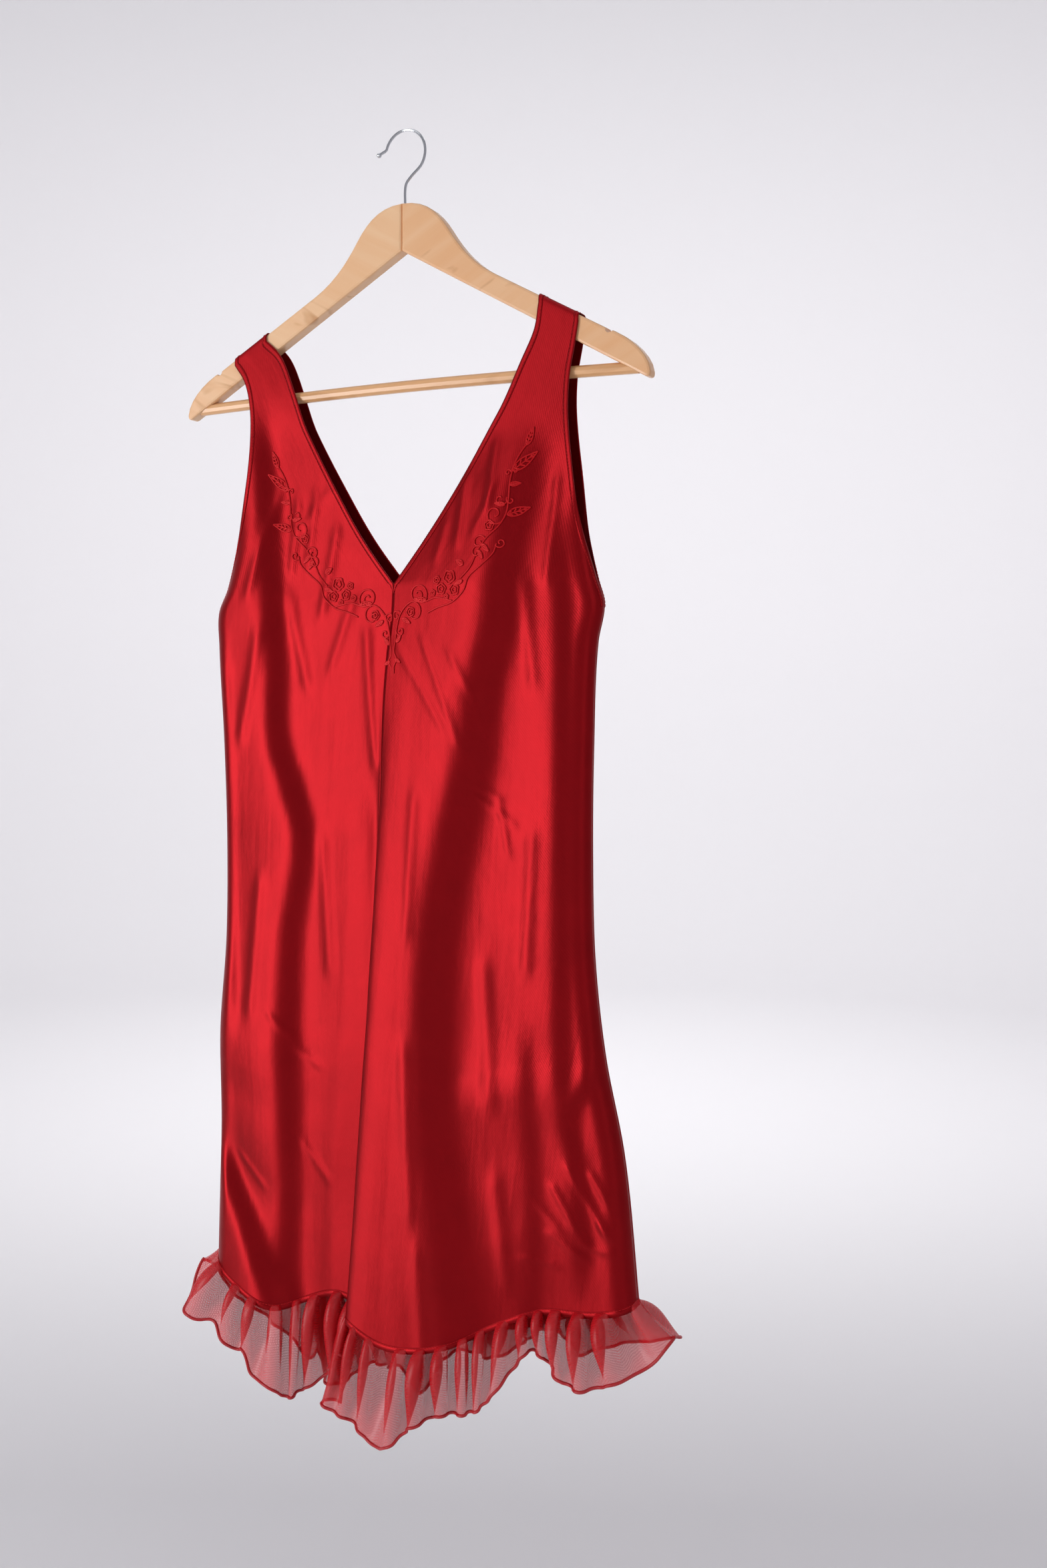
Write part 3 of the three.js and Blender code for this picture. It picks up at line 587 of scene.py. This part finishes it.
PANELS = {
    "front_left": [("front", "left")],
    "front_right": [("front", "right")],
    "back": [("back", "left"), ("back", "right")],
}
extras = {name: [] for name in PANELS}
BAND_COLUMNS = [0.02, 0.3, 0.65, 1.0]
for name, halves in PANELS.items():
    grids, flips = [], []
    for face, half in halves:
        for edge in ("neck", "armhole"):
            strip = lifted(edge_strip(face, half, edge, BAND_COLUMNS), face, 0.34)
            grids.append(strip)
            flips.append(is_flipped(face, half) != (edge == "armhole"))
        grids.append(lifted(hem_strip(face, half, [1.0, 0.5, 0.04]), face, 0.32))
        flips.append(is_flipped(face, half))
    bands = sheet_mesh(f"turned_edges_{name}", grids, flips, 0.24, edge_satin)
    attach(bands, "root")
    sides = [f"{face}_{half}" for face, half in halves]
    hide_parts(*[f"{edge}_edge_{side}" for edge in ("neck", "armhole") for side in sides])
    extras[name].append(bands)

# %% [markdown]
# ## Stitches
# A lock stitch is a row of short threads with a gap between each two. Geometry Nodes lays them: the
# stitch line is resampled at the stitch's pitch, and each point gets a small rod turned along the line.

# %% Thread and the stitch tree
def thread_material(name, dye):
    """Spun polyester thread: matt, with a fine twist."""
    material, tree, shader = new_material(name)
    place = add_node(tree, "ShaderNodeTexCoord").outputs["Object"]
    twist = add_node(tree, "ShaderNodeTexNoise", Vector=place, Scale=2400.0, Detail=2.0)
    tone = add_node(tree, "ShaderNodeMix", {"data_type": "RGBA"}, Factor=twist.outputs[0])
    tone.inputs[6].default_value = colour(dye)
    tone.inputs[7].default_value = colour("#CC0E18")
    bump = add_node(tree, "ShaderNodeBump", Height=twist.outputs[0], Strength=0.4, Distance=0.0002)
    tree.links.new(tone.outputs[2], shader.inputs["Base Color"])
    tree.links.new(bump.outputs[0], shader.inputs["Normal"])
    shader.inputs["Roughness"].default_value = 0.42
    shader.inputs["Metallic"].default_value = 0.3
    shader.inputs["Specular IOR Level"].default_value = 0.3
    return material


thread = thread_material("spun polyester thread, red", "#A8060F")
silk = thread_material("rayon embroidery thread, red", "#B80812")


def new_tree(name, inputs):
    """A geometry tree with a geometry in and out, and named number inputs."""
    tree = bpy.data.node_groups.new(name, "GeometryNodeTree")
    tree.interface.new_socket("Geometry", in_out="INPUT", socket_type="NodeSocketGeometry")
    for label, value in inputs.items():
        socket = tree.interface.new_socket(label, in_out="INPUT", socket_type="NodeSocketFloat")
        socket.default_value = value
    tree.interface.new_socket("Geometry", in_out="OUTPUT", socket_type="NodeSocketGeometry")
    return tree, tree.nodes.new("NodeGroupInput"), tree.nodes.new("NodeGroupOutput")


def stitch_tree(material):
    tree, start, end = new_tree("lock stitches", {"Pitch": 0.0028, "Length": 0.002, "Thread": 0.00022})
    line = add_node(tree, "GeometryNodeMeshToCurve", Mesh=start.outputs["Geometry"])
    points = add_node(tree, "GeometryNodeResampleCurve", {"mode": "LENGTH"}, Curve=line.outputs[0],
                      Length=start.outputs["Pitch"])
    along = add_node(tree, "GeometryNodeInputTangent")
    turn = add_node(tree, "FunctionNodeAlignRotationToVector", {"axis": "Z"}, Vector=along.outputs[0])
    rod = add_node(tree, "GeometryNodeMeshCylinder", Vertices=6, Radius=start.outputs["Thread"],
                   Depth=start.outputs["Length"])
    placed = add_node(tree, "GeometryNodeInstanceOnPoints", Points=points.outputs[0], Instance=rod.outputs[0],
                      Rotation=turn.outputs[0])
    real = add_node(tree, "GeometryNodeRealizeInstances", Geometry=placed.outputs[0])
    done = add_node(tree, "GeometryNodeSetMaterial", Geometry=real.outputs[0], Material=material)
    tree.links.new(done.outputs[0], end.inputs[0])
    return tree


def line_mesh(name, lines):
    """An object of loose polylines, given in millimetres."""
    points, edges = [], []
    for line in lines:
        edges += [(len(points) + i, len(points) + i + 1) for i in range(len(line) - 1)]
        points += [tuple(np.array(p) * MM) for p in line]
    mesh = bpy.data.meshes.new(name)
    mesh.from_pydata(points, edges, [])
    piece = bpy.data.objects.new(name, mesh)
    bpy.context.scene.collection.objects.link(piece)
    return piece


def grow(piece, tree, values):
    """Runs a geometry tree on a piece with its inputs set, and keeps the result as its mesh."""
    modifier = piece.modifiers.new("grow", "NODES")
    modifier.node_group = tree
    for socket in tree.interface.items_tree:
        if socket.in_out == "INPUT" and socket.name in values:
            modifier[socket.identifier] = values[socket.name]
    depsgraph = bpy.context.evaluated_depsgraph_get()
    finished = bpy.data.meshes.new_from_object(piece.evaluated_get(depsgraph))
    piece.modifiers.clear()
    piece.data = finished
    finished.name = piece.name
    finished.shade_smooth()
    print(piece.name, len(finished.polygons), "faces")
    return piece


# %% Lay the stitches
lock_stitches = stitch_tree(thread)
STITCH_AT = 0.8
for name, halves in PANELS.items():
    lines = []
    for face, half in halves:
        for edge in ("neck", "armhole"):
            row = lifted(edge_strip(face, half, edge, [STITCH_AT - 0.1, STITCH_AT, STITCH_AT + 0.1]), face, 0.56)
            lines.append(row[2:-1, 1])
        lines.append(lifted(hem_strip(face, half, [0.9, 0.8, 0.7]), face, 0.54)[1, 2:-2])
    row = grow(line_mesh(f"stitches_{name}", lines), lock_stitches, {"Pitch": 0.0028, "Length": 0.0021})
    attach(row, "root")
    extras[name].append(row)

# %% [markdown]
# ## Embroidery
# Below the V a vine of leaves, five-petal flowers and curls is sewn in thick thread of the cloth's own
# red. It is drawn flat for the right half, mirrored to the left as an embroidery machine does, laid on
# the cloth, and then given the thickness of the thread.

# %% Draw the vine
def curve_through(points, count=16):
    """A smooth line through points (Catmull-Rom)."""
    p = np.array(points, float)
    p = np.vstack([2 * p[0] - p[1], p, 2 * p[-1] - p[-2]])
    t = np.linspace(0, 1, count, endpoint=False)[:, None]
    parts = []
    for a, b, c, d in zip(p[:-3], p[1:-2], p[2:-1], p[3:]):
        parts.append(0.5 * (2 * b + (c - a) * t + (2 * a - 5 * b + 4 * c - d) * t**2 + (3 * b - a - 3 * c + d) * t**3))
    return np.vstack(parts + [p[-2:-1]])


def leaf(at, angle, length, width, ribs=5):
    """A pointed leaf: its outline, its vein and slanting threads."""
    turn = np.array([[math.cos(angle), math.sin(angle)], [-math.sin(angle), math.cos(angle)]])
    u = np.linspace(0, 1, 15)
    half = width / 2 * np.sin(math.pi * u**0.8) * (1 - 0.25 * u)
    lines = [np.stack([length * u, side * half], 1) for side in (1, -1)]
    lines.append(np.array([[0, 0], [length * 0.86, 0]]))
    for k in range(1, ribs):
        u0 = k / ribs
        reach = width / 2 * math.sin(math.pi * u0**0.8) * (1 - 0.25 * u0) * 0.8
        lines += [np.array([[length * (u0 - 0.1), 0], [length * u0 + 0.4, side * reach]]) for side in (1, -1)]
    return [line @ turn + np.array(at) for line in lines]


def flower(at, size, turn=0.0, petals=5):
    """A flower in two scalloped rings."""
    t = np.linspace(0, 2 * math.pi, 8 * petals + 1)
    lines = []
    for reach, depth in ((0.86, 0.2), (0.42, 0.12)):
        ring = size * (reach + depth * (np.abs(np.cos(petals / 2 * (t - turn))) - 0.5))
        lines.append(np.stack([ring * np.cos(t), ring * np.sin(t)], 1) + np.array(at))
    return lines


def curl(at, angle, size, turns=1.25, hand=1):
    """A scroll that winds in from its root."""
    t = np.linspace(0, 1, 30)
    radius = size * (1 - 0.82 * t)
    a = angle + hand * 2 * math.pi * turns * t
    spiral = np.stack([radius * np.cos(a), radius * np.sin(a)], 1)
    return [spiral - spiral[0] + np.array(at)]


STEMS = [
    [(124, -266), (118, -274), (113, -284), (110, -297), (109, -310), (107, -322), (101, -332), (91, -341),
     (83, -352), (77, -364), (68, -373)],
    [(100, -346), (97, -354), (87, -363), (76, -372), (71, -383), (60, -392), (46, -396), (36, -400)],
    [(60, -391), (44, -388), (32, -391), (18, -391), (8, -400), (4, -412), (2.6, -424)],
    [(2.6, -424), (1.6, -432), (4.2, -438), (1.6, -444), (1.4, -450)],
]
LEAVES = [
    ((123, -268), 1.2, 15, 5.4), ((112, -288), 0.62, 25, 8.0), ((110, -299), 0.1, 9, 3.6), ((106, -315), 2.95, 9, 3.4),
    ((108, -323), 0.3, 19, 7.0), ((87, -346), -0.75, 9, 3.2), ((84, -351), -1.0, 8, 3.0), ((70, -362), 2.6, 8, 4.6),
    ((70, -375), 3.5, 8, 3.0), ((34, -390), 3.0, 12, 4.4), ((10, -404), -0.5, 9, 3.2), ((4, -424), 0.9, 7, 3.0),
    ((3, -438), -0.5, 6, 2.6),
]
FLOWERS = [
    ((93, -331), 4.4, 0.3), ((57, -371.5), 5.8, 0.9), ((49, -381), 4.8, 0.2), ((62, -382), 4.8, 0.5),
    ((44.5, -373.5), 3.2, 0.0), ((40.5, -384), 2.7, 0.4), ((54, -387.5), 2.4, 0.1), ((18, -399), 4.2, 0.7),
]
CURLS = [
    ((111, -289), 3.4, 3.2, 1.0, -1), ((111, -289), 0.2, 2.8, 1.0, 1), ((108, -312), -0.3, 6.0, 0.8, -1),
    ((108, -309), 2.4, 3.6, 0.9, 1), ((103, -329), -0.9, 8.6, 1.1, -1), ((90, -342), 0.4, 6.2, 1.1, 1),
    ((86, -348), 0.9, 5.4, 1.1, 1), ((99, -347), 3.5, 4.4, 1.1, 1), ((33, -391), -0.7, 9.6, 1.55, 1),
    ((22, -391), 1.5, 8.6, 0.95, -1), ((8, -401), 0.2, 4.6, 1.2, 1), ((3.5, -414), 3.0, 4.4, 1.1, 1),
]
HALF_DESIGN = [curve_through(stem) for stem in STEMS]
for row in LEAVES:
    HALF_DESIGN += leaf(*row)
for row in FLOWERS:
    HALF_DESIGN += flower(*row)
for row in CURLS:
    HALF_DESIGN += curl(*row)
print("embroidery:", len(HALF_DESIGN), "lines a side")


# %% Lay it on the cloth
def on_front(half, x, z, height):
    """Points on the outside of the front at (x, z), a height above the cloth."""
    sign = 1 if half == "right" else -1
    t = np.linspace(0, 1, 260)[None, :]
    rows = z[:, None]
    grid_x, grid_y = section("front", half, rows + 0 * t, t + 0 * rows)
    order = grid_x if sign > 0 else grid_x[:, ::-1]
    deep = grid_y if sign > 0 else grid_y[:, ::-1]
    y = np.array([np.interp(a, b, c) for a, b, c in zip(x, order, deep)])
    return np.stack([x, y - height, z], 1)


CENTRE_GAP = 1.2


def laid_design(half):
    """The design for one half, on the cloth, its lines cut at the centre seam."""
    sign = 1 if half == "right" else -1
    lines = []
    for line in HALF_DESIGN:
        dense = np.vstack([line[:1]] + [
            np.linspace(a, b, max(2, int(np.hypot(*(b - a)) / 0.8) + 1))[1:] for a, b in zip(line, line[1:])])
        off = np.maximum(dense[:, 0], CENTRE_GAP)
        z = dense[:, 1] - (2.0 if half == "left" else 0.0)
        lines.append(on_front(half, DRESS_X + sign * off, z, SATIN / 2 + 0.3))
    return lines


def thread_tree(material):
    tree, start, end = new_tree("raised thread", {"Radius": 0.0006})
    line = add_node(tree, "GeometryNodeMeshToCurve", Mesh=start.outputs["Geometry"])
    ring = add_node(tree, "GeometryNodeCurvePrimitiveCircle", Resolution=6, Radius=start.outputs["Radius"])
    body = add_node(tree, "GeometryNodeCurveToMesh", Curve=line.outputs[0], Fill_Caps=True)
    tree.links.new(ring.outputs[0], body.inputs["Profile Curve"])
    real = add_node(tree, "GeometryNodeRealizeInstances", Geometry=body.outputs[0])
    done = add_node(tree, "GeometryNodeSetMaterial", Geometry=real.outputs[0], Material=material)
    tree.links.new(done.outputs[0], end.inputs[0])
    return tree


raised_thread = thread_tree(silk)
for half in ("left", "right"):
    vine = grow(line_mesh(f"embroidery_{half}", laid_design(half)), raised_thread, {"Radius": 0.00072})
    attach(vine, "root")
    extras[f"front_{half}"].append(vine)

# %% [markdown]
# ## Organza
# Organza is a sheer plain weave of hard-twisted filament. Light goes through the holes between its
# yarns, so one layer is pale and layers over each other grow dense. Each side of the modelled wall
# covers about a third of what is behind it, and the yarns are drawn 1.1 mm apart instead of 0.2 mm.

# %% The organza
def organza_material(name, dye, cover):
    material, tree, shader = new_material(name)
    uv = add_node(tree, "ShaderNodeUVMap", {"uv_map": "cloth"}).outputs[0]
    warp = add_node(tree, "ShaderNodeTexWave", {"bands_direction": "X"}, Vector=uv, Scale=1 / 0.0070, Distortion=0.5)
    weft = add_node(tree, "ShaderNodeTexWave", {"bands_direction": "Y"}, Vector=uv, Scale=1 / 0.0070, Distortion=0.5)
    yarns = add_node(tree, "ShaderNodeMath", {"operation": "MAXIMUM"}, _0=warp.outputs[0], _1=weft.outputs[0])
    covered = add_node(tree, "ShaderNodeMapRange", _0=yarns.outputs[0], _3=cover[0], _4=cover[1])
    tree.links.new(covered.outputs[0], shader.inputs["Alpha"])
    shader.inputs["Base Color"].default_value = colour(dye)
    shader.inputs["Roughness"].default_value = 0.4
    shader.inputs["Sheen Weight"].default_value = 0.25
    shader.inputs["Sheen Tint"].default_value = colour("#FF3A48")
    return material


organza = organza_material("polyester organza, red", "#D40E1C", (0.37, 0.56))
rolled = organza_material("rolled organza edge", "#B80E1A", (0.86, 0.98))

# %% [markdown]
# ## The ruffle
# A strip nearly twice as long as the hem is gathered at its top and falls in round lobes. Seen from
# below, its edge is a meander whose direction swings to and fro like a sine. Such a line keeps its own
# length, so the cloth isn't stretched: it folds over itself where it swings past a right angle.

# %% The ruffle
RUFFLE = {"tuck": 6.0, "behind": 2.2, "flare": 9.0, "gather": 4.6}
# The ruffle's rim: how far it spreads sideways from the hem above it, and its height at each place.
SPREAD = {
    "left": {"x": [-193, -160, -120, -80, -40], "aside": [-21, -12, -5, -3, -8]},
    "right": {"x": [-50, -20, 20, 80, 130, 180, 221], "aside": [-18, -8, -2, 0, 2, 12, 31]},
}
RIM = {
    "front_left": {
        "x": [-215, -209, -200, -183, -176, -163, -150, -143, -127, -116, -100, -85, -68, -57, -40],
        "z": [-985, -1020, -1034, -1038, -1050, -1060, -1057, -1073, -1081, -1091, -1088, -1079, -1061, -1049, -1040],
    },
    "front_right": {
        "x": [-67, -60, -45, -23, -8, 15, 30, 47, 76, 102, 116, 128, 140, 157, 179, 213, 240, 252],
        "z": [-1082, -1089, -1094, -1103, -1108, -1098, -1083, -1073, -1064, -1043, -1022, -1007, -1010, -1021,
              -1023, -1011, -993, -974],
    },
    "back": {
        "x": [-219, -190, -173, -144, -124, -105, -89, -54, -29, -11, 7, 26, 80, 133, 155, 178, 235, 252],
        "z": [-985, -1028, -1033, -1060, -1082, -1062, -1090, -1074, -1066, -1058, -1080, -1052, -1034, -1006,
              -1018, -1006, -988, -974],
    },
}
LOBE = {"pitch": 86.0, "swing": 8.0}
PLEATS = {"pitch": 20.0, "swing": 1.95}


def hem_line(face, count):
    """The satin hem from the left seam to the right one, with its outward and its running directions."""
    shares = np.linspace(0, 1, count // 2)
    left = panel(face, "left", shares[::-1], [HEM])[0]
    right = panel(face, "right", shares[1:], [HEM])[0]
    line = np.vstack([left, right])
    run = np.gradient(line[:, :2], axis=0)
    run /= np.linalg.norm(run, axis=1, keepdims=True)
    way = 1 if face == "front" else -1
    return line, np.stack([run[:, 1], -run[:, 0]], 1) * way, run


def wander(length, phase, size):
    """A slow smooth change along the strip that never repeats in its length."""
    return size * (np.sin(length / 31 + phase) + 0.7 * np.sin(length / 17.3 + 2.1 * phase) + 0.4 * np.sin(length / 9.1))


def meander(phase, pitch, swing):
    """How far a folded strip runs ahead of its even pace, and how far aside it lies."""
    steps = np.linspace(0, 2 * math.pi, 400)
    heading = swing * np.sin(steps)
    ahead, aside = np.cos(heading), np.sin(heading)
    cloth = pitch / ahead.mean() / 399
    move = np.concatenate([[0], ((ahead[1:] + ahead[:-1]) / 2).cumsum()]) * cloth
    side = np.concatenate([[0], ((aside[1:] + aside[:-1]) / 2).cumsum()]) * cloth
    place = np.mod(phase, 2 * math.pi)
    return np.interp(place, steps, move - steps / (2 * math.pi) * pitch), np.interp(place, steps, side - side.mean())


def ruffle_grid(face, columns=860, rows=34):
    """The ruffle as a grid: its gathered top, its pleats, and its lobed rim."""
    line, out, run = hem_line(face, columns)
    length = np.concatenate([[0], np.linalg.norm(np.diff(line, axis=0), axis=1).cumsum()])
    share = length / length[-1]
    half = columns // 2
    low_x, low_z = line[:, 0].copy(), line[:, 2].copy()
    for name, part in (("left", slice(0, half)), ("right", slice(half, None))):
        low_x[part] += read(SPREAD[name], "x", "aside", line[part, 0])
        low_z[part] = read(RIM["back" if face == "back" else f"front_{name}"], "x", "z", low_x[part])
    ends = fade(np.minimum(share, 1 - share), 0.0, 0.04)
    level = np.linspace(0, 1, rows)[:, None]
    hang = level * (0.55 + 0.45 * level)
    seed = 0.4 if face == "front" else 2.2
    phase = 2 * math.pi * length / PLEATS["pitch"] + wander(length, seed, 1.6)
    ahead, aside = meander(phase, PLEATS["pitch"], PLEATS["swing"])
    calm = ends * (0.82 + 0.18 * np.sin(length / 23.7 + 1.3))
    deep = np.sin(math.pi * np.clip(level, 0, 1) ** 0.62) * 0.95 + 0.24 * level
    gathers = np.sin(2 * math.pi * length / RUFFLE["gather"] + wander(length, 3.0, 1.4))
    aside = aside * calm * deep + 0.9 * gathers * (1 - level) ** 2 * fade(level, 0, 0.08)
    lobes = LOBE["swing"] * np.sin(2 * math.pi * length / LOBE["pitch"] + seed)
    aside = (aside + (lobes + RUFFLE["flare"]) * hang - RUFFLE["behind"]) * ends
    ahead = ahead * calm * deep * ends
    x = line[:, 0] + (low_x - line[:, 0]) * hang + out[:, 0] * aside + run[:, 0] * ahead
    y = line[:, 1] + out[:, 1] * aside + run[:, 1] * ahead
    top = line[:, 2] + RUFFLE["tuck"]
    return np.stack([x, y, top + (low_z - top) * level], axis=2)


for face in ("front", "back"):
    grid = ruffle_grid(face)
    name = f"organza_ruffle_{face}"
    piece = sheet_mesh(name, [grid], [face == "front"], 0.3, organza)
    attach(piece, "root")
    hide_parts(f"ruffle_{face}")
    edge = grow(line_mesh(f"rolled_edge_{face}", [grid[-1]]), thread_tree(rolled), {"Radius": 0.0014})
    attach(edge, "root")
    rim_length = np.linalg.norm(np.diff(grid[-1], axis=0), axis=1).sum()
    print(name, "area", round(cloth_area(piece), 4), "rim", round(rim_length), "mm")

# %% [markdown]
# ## Hanger wood
# The arms and the bar are pale hardwood under a clear lacquer. The grain runs along each arm, so the
# pattern is turned by the arm's slope, and slow rings, fine pores and a few darker streaks lie over
# each other. The lacquer is a thin glossy coat.

# %% The wood
def wood_material(name, slope, pale, warm, dark):
    material, tree, shader = new_material(name)
    place = add_node(tree, "ShaderNodeTexCoord").outputs["Object"]
    turned = add_node(tree, "ShaderNodeMapping", Vector=place, Rotation=(0, slope, 0)).outputs[0]
    pulled = add_node(tree, "ShaderNodeMapping", Vector=turned, Scale=(5.0, 60.0, 60.0)).outputs[0]
    rings = add_node(tree, "ShaderNodeTexNoise", Vector=pulled, Scale=1.0, Detail=5.0, Distortion=0.6)
    fine_place = add_node(tree, "ShaderNodeMapping", Vector=turned, Scale=(60.0, 900.0, 900.0)).outputs[0]
    pores = add_node(tree, "ShaderNodeTexNoise", Vector=fine_place, Scale=1.0, Detail=3.0)
    streaks = add_node(tree, "ShaderNodeMapping", Vector=turned, Scale=(9.0, 20.0, 34.0)).outputs[0]
    knots = add_node(tree, "ShaderNodeTexNoise", Vector=streaks, Scale=1.0, Detail=2.0, Distortion=1.6)
    base = add_node(tree, "ShaderNodeMix", {"data_type": "RGBA"}, Factor=rings.outputs[0])
    base.inputs[6].default_value = colour(pale)
    base.inputs[7].default_value = colour(warm)
    spots = add_node(tree, "ShaderNodeMapRange", _0=knots.outputs[0], _1=0.60, _2=0.74, _3=0.0, _4=0.75)
    streaked = add_node(tree, "ShaderNodeMix", {"data_type": "RGBA"}, Factor=spots.outputs[0])
    tree.links.new(base.outputs[2], streaked.inputs[6])
    streaked.inputs[7].default_value = colour(dark)
    bump = add_node(tree, "ShaderNodeBump", Height=pores.outputs[0], Strength=0.15, Distance=0.0002)
    tree.links.new(streaked.outputs[2], shader.inputs["Base Color"])
    tree.links.new(bump.outputs[0], shader.inputs["Normal"])
    shader.inputs["Roughness"].default_value = 0.5
    shader.inputs["Coat Weight"].default_value = 0.6
    shader.inputs["Coat Roughness"].default_value = 0.18
    return material


ARM_SLOPE = 0.5
WOODS = {
    "hanger_arm_left": (-ARM_SLOPE, "#F6CFA4", "#E9AE78", "#C98A50"),
    "hanger_arm_right": (ARM_SLOPE, "#F2C79A", "#E6A56C", "#B97440"),
    "trouser_bar": (0.0, "#F0C08C", "#DFA068", "#C4884E"),
}
for node_name, look in WOODS.items():
    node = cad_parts[node_name]
    node.data.materials.clear()
    node.data.materials.append(wood_material(f"lacquered beech, {node_name.replace('_', ' ')}", *look))

# %% [markdown]
# ## The hook
# A steel wire bent to a hook and chrome plated. The plating is a mirror, with a very fine haze.

# %% The hook
def chrome_material(name):
    material, tree, shader = new_material(name)
    place = add_node(tree, "ShaderNodeTexCoord").outputs["Object"]
    haze = add_node(tree, "ShaderNodeTexNoise", Vector=place, Scale=420.0, Detail=3.0)
    rough = add_node(tree, "ShaderNodeMapRange", _0=haze.outputs[0], _3=0.10, _4=0.22)
    tree.links.new(rough.outputs[0], shader.inputs["Roughness"])
    shader.inputs["Base Color"].default_value = colour("#CFD2D6")
    shader.inputs["Metallic"].default_value = 1.0
    return material


hook_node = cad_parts["hook"]
hook_node.data.materials.clear()
hook_node.data.materials.append(chrome_material("chrome-plated steel wire"))

# %% [markdown]
# ## The cloth
# The panels are cut on the bias and hang from the hanger. The ruffle's strip is about twice as long as
# the hem that it is gathered on to.

# %% Finish
bpy.context.view_layer.update()
